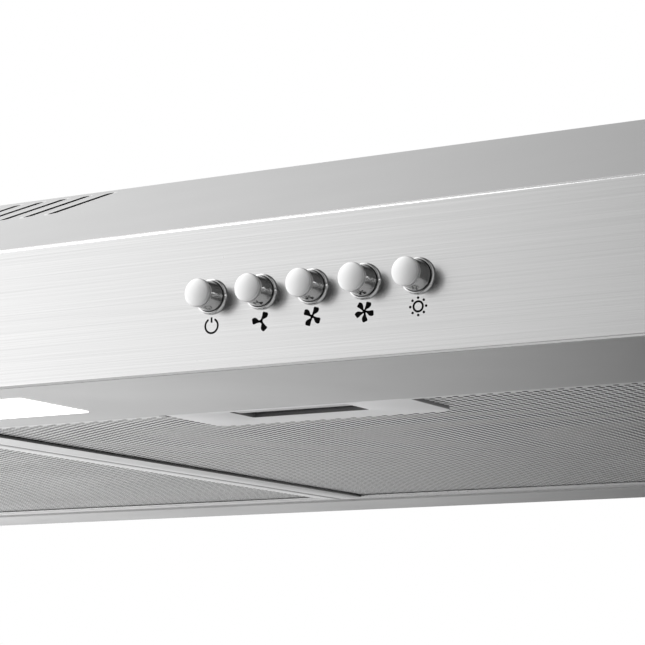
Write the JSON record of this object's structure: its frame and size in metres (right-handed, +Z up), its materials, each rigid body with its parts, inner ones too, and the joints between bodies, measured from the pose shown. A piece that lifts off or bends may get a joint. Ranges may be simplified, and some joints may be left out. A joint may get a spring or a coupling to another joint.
{
  "type": "under cabinet range hood",
  "caption": "Under cabinet range hood with sloping louvred front, push buttons, lamp strip, hinged mesh grease filters, blower and round duct collar.",
  "frame": {"origin": "centre of the four cabinet screw holes, on the flat top face", "axes": "+Z up, -Y the front with the buttons, +X the user's right"},
  "size_m": [0.75, 0.5096, 0.1372],
  "materials": {
    "canopy_steel": "fine horizontal brushing",
    "fascia_steel": "fine horizontal brushing, bright folded edges",
    "frame_steel": "satin",
    "galvanised_steel": "galvanised, semi-matt",
    "button_metal": "satin turned metal",
    "bezel_metal": "polished",
    "screw_steel": "zinc plated",
    "filter_aluminium": "satin",
    "mesh_aluminium": "expanded sheet, matt",
    "handle_plastic": "light grey, smooth",
    "latch_plastic": "grey, smooth",
    "lamp_diffuser": "opal white, lit from behind",
    "white_plastic": "moulded",
    "black_plastic": "moulded, fine grain",
    "circuit_board": "white solder mask",
    "motor_metal": "cast",
    "black_rubber": "soft",
    "shaft_steel": "ground",
    "carbon_foam": "porous"
  },
  "bodies": {
    "hood": {"canopy_shell": "canopy_steel", "left_side_panel": "canopy_steel", "right_side_panel": "canopy_steel", "front_fascia": "fascia_steel", "underside_frame": "frame_steel", "filter_rail": "galvanised_steel", "button_bezels": "bezel_metal", "switch_housing": "black_plastic", "switch_bracket": "galvanised_steel", "lamp_lens": "lamp_diffuser", "lamp_tray": "galvanised_steel", "led_board": "circuit_board", "led_driver": "white_plastic", "blower_scroll": "black_plastic", "blower_cover": "black_plastic", "inlet_grille": "screw_steel", "motor": "motor_metal", "motor_bracket": "galvanised_steel", "motor_bushes": "black_rubber", "capacitor": "white_plastic", "capacitor_clip": "galvanised_steel", "junction_box": "galvanised_steel", "junction_cover": "galvanised_steel", "terminal_block": "white_plastic", "cable_gland": "black_rubber", "duct_collar": "galvanised_steel", "collar_gasket": "black_rubber", "damper_rod": "shaft_steel", "collar_screws": "screw_steel", "frame_screws": "screw_steel", "frame_brackets": "galvanised_steel", "blower_screws": "screw_steel"},
    "power_push": {"power_button": "button_metal", "power_plunger": "white_plastic"},
    "speed_1_push": {"speed_1_button": "button_metal", "speed_1_plunger": "white_plastic"},
    "speed_2_push": {"speed_2_button": "button_metal", "speed_2_plunger": "white_plastic"},
    "speed_3_push": {"speed_3_button": "button_metal", "speed_3_plunger": "white_plastic"},
    "light_push": {"light_button": "button_metal", "light_plunger": "white_plastic"},
    "fan": {"fan_wheel": "black_plastic", "motor_shaft": "shaft_steel"},
    "carbon_filter": {"carbon_cage": "black_plastic", "carbon_pad": "carbon_foam"},
    "front_flap": {"front_damper_flap": "filter_aluminium"},
    "rear_flap": {"rear_damper_flap": "filter_aluminium"},
    "left_filter": {"left_filter_frame": "filter_aluminium", "left_filter_screen": "mesh_aluminium", "left_filter_media": "mesh_aluminium", "left_filter_back": "mesh_aluminium", "left_filter_handle": "handle_plastic"},
    "left_catch": {"left_latch": "latch_plastic"},
    "right_filter": {"right_filter_frame": "filter_aluminium", "right_filter_screen": "mesh_aluminium", "right_filter_media": "mesh_aluminium", "right_filter_back": "mesh_aluminium", "right_filter_handle": "handle_plastic"},
    "right_catch": {"right_latch": "latch_plastic"}
  },
  "joints": [
    {"name": "power_press", "type": "slide", "parent": "hood", "child": "power_push", "axis": [0, 1, 0], "range_m": [0, 0.003], "stiffness_N_per_m": 300, "springref_m": -0.001},
    {"name": "speed_1_press", "type": "slide", "parent": "hood", "child": "speed_1_push", "axis": [0, 1, 0], "range_m": [0, 0.003], "stiffness_N_per_m": 300, "springref_m": -0.001},
    {"name": "speed_2_press", "type": "slide", "parent": "hood", "child": "speed_2_push", "axis": [0, 1, 0], "range_m": [0, 0.003], "stiffness_N_per_m": 300, "springref_m": -0.001},
    {"name": "speed_3_press", "type": "slide", "parent": "hood", "child": "speed_3_push", "axis": [0, 1, 0], "range_m": [0, 0.003], "stiffness_N_per_m": 300, "springref_m": -0.001},
    {"name": "light_press", "type": "slide", "parent": "hood", "child": "light_push", "axis": [0, 1, 0], "range_m": [0, 0.003], "stiffness_N_per_m": 300, "springref_m": -0.001},
    {"name": "left_filter_drop", "type": "hinge", "parent": "hood", "child": "left_filter", "pos_m": [-0.1595, 0.1305, -0.0982], "axis": [1, 0, 0], "range_deg": [0, 70]},
    {"name": "left_catch_pull", "type": "slide", "parent": "left_filter", "child": "left_catch", "axis": [0, 1, 0], "range_m": [0, 0.005], "stiffness_N_per_m": 400, "springref_m": -0.002},
    {"name": "right_filter_drop", "type": "hinge", "parent": "hood", "child": "right_filter", "pos_m": [0.1595, 0.1305, -0.0982], "axis": [1, 0, 0], "range_deg": [0, 70]},
    {"name": "right_catch_pull", "type": "slide", "parent": "right_filter", "child": "right_catch", "axis": [0, 1, 0], "range_m": [0, 0.005], "stiffness_N_per_m": 400, "springref_m": -0.002},
    {"name": "fan_spin", "type": "hinge", "parent": "hood", "child": "fan", "pos_m": [-0.028, -0.082, -0.03], "axis": [0, 0, 1], "continuous": true},
    {"name": "carbon_twist", "type": "hinge", "parent": "hood", "child": "carbon_filter", "pos_m": [-0.028, -0.082, -0.076], "axis": [0, 0, 1], "range_deg": [0, 30]},
    {"name": "front_flap_swing", "type": "hinge", "parent": "hood", "child": "front_flap", "pos_m": [0, 0.085, 0.009], "axis": [-1, 0, 0], "range_deg": [0, 78]},
    {"name": "rear_flap_swing", "type": "hinge", "parent": "hood", "child": "rear_flap", "pos_m": [0, 0.085, 0.009], "axis": [1, 0, 0], "range_deg": [0, 78]}
  ]
}
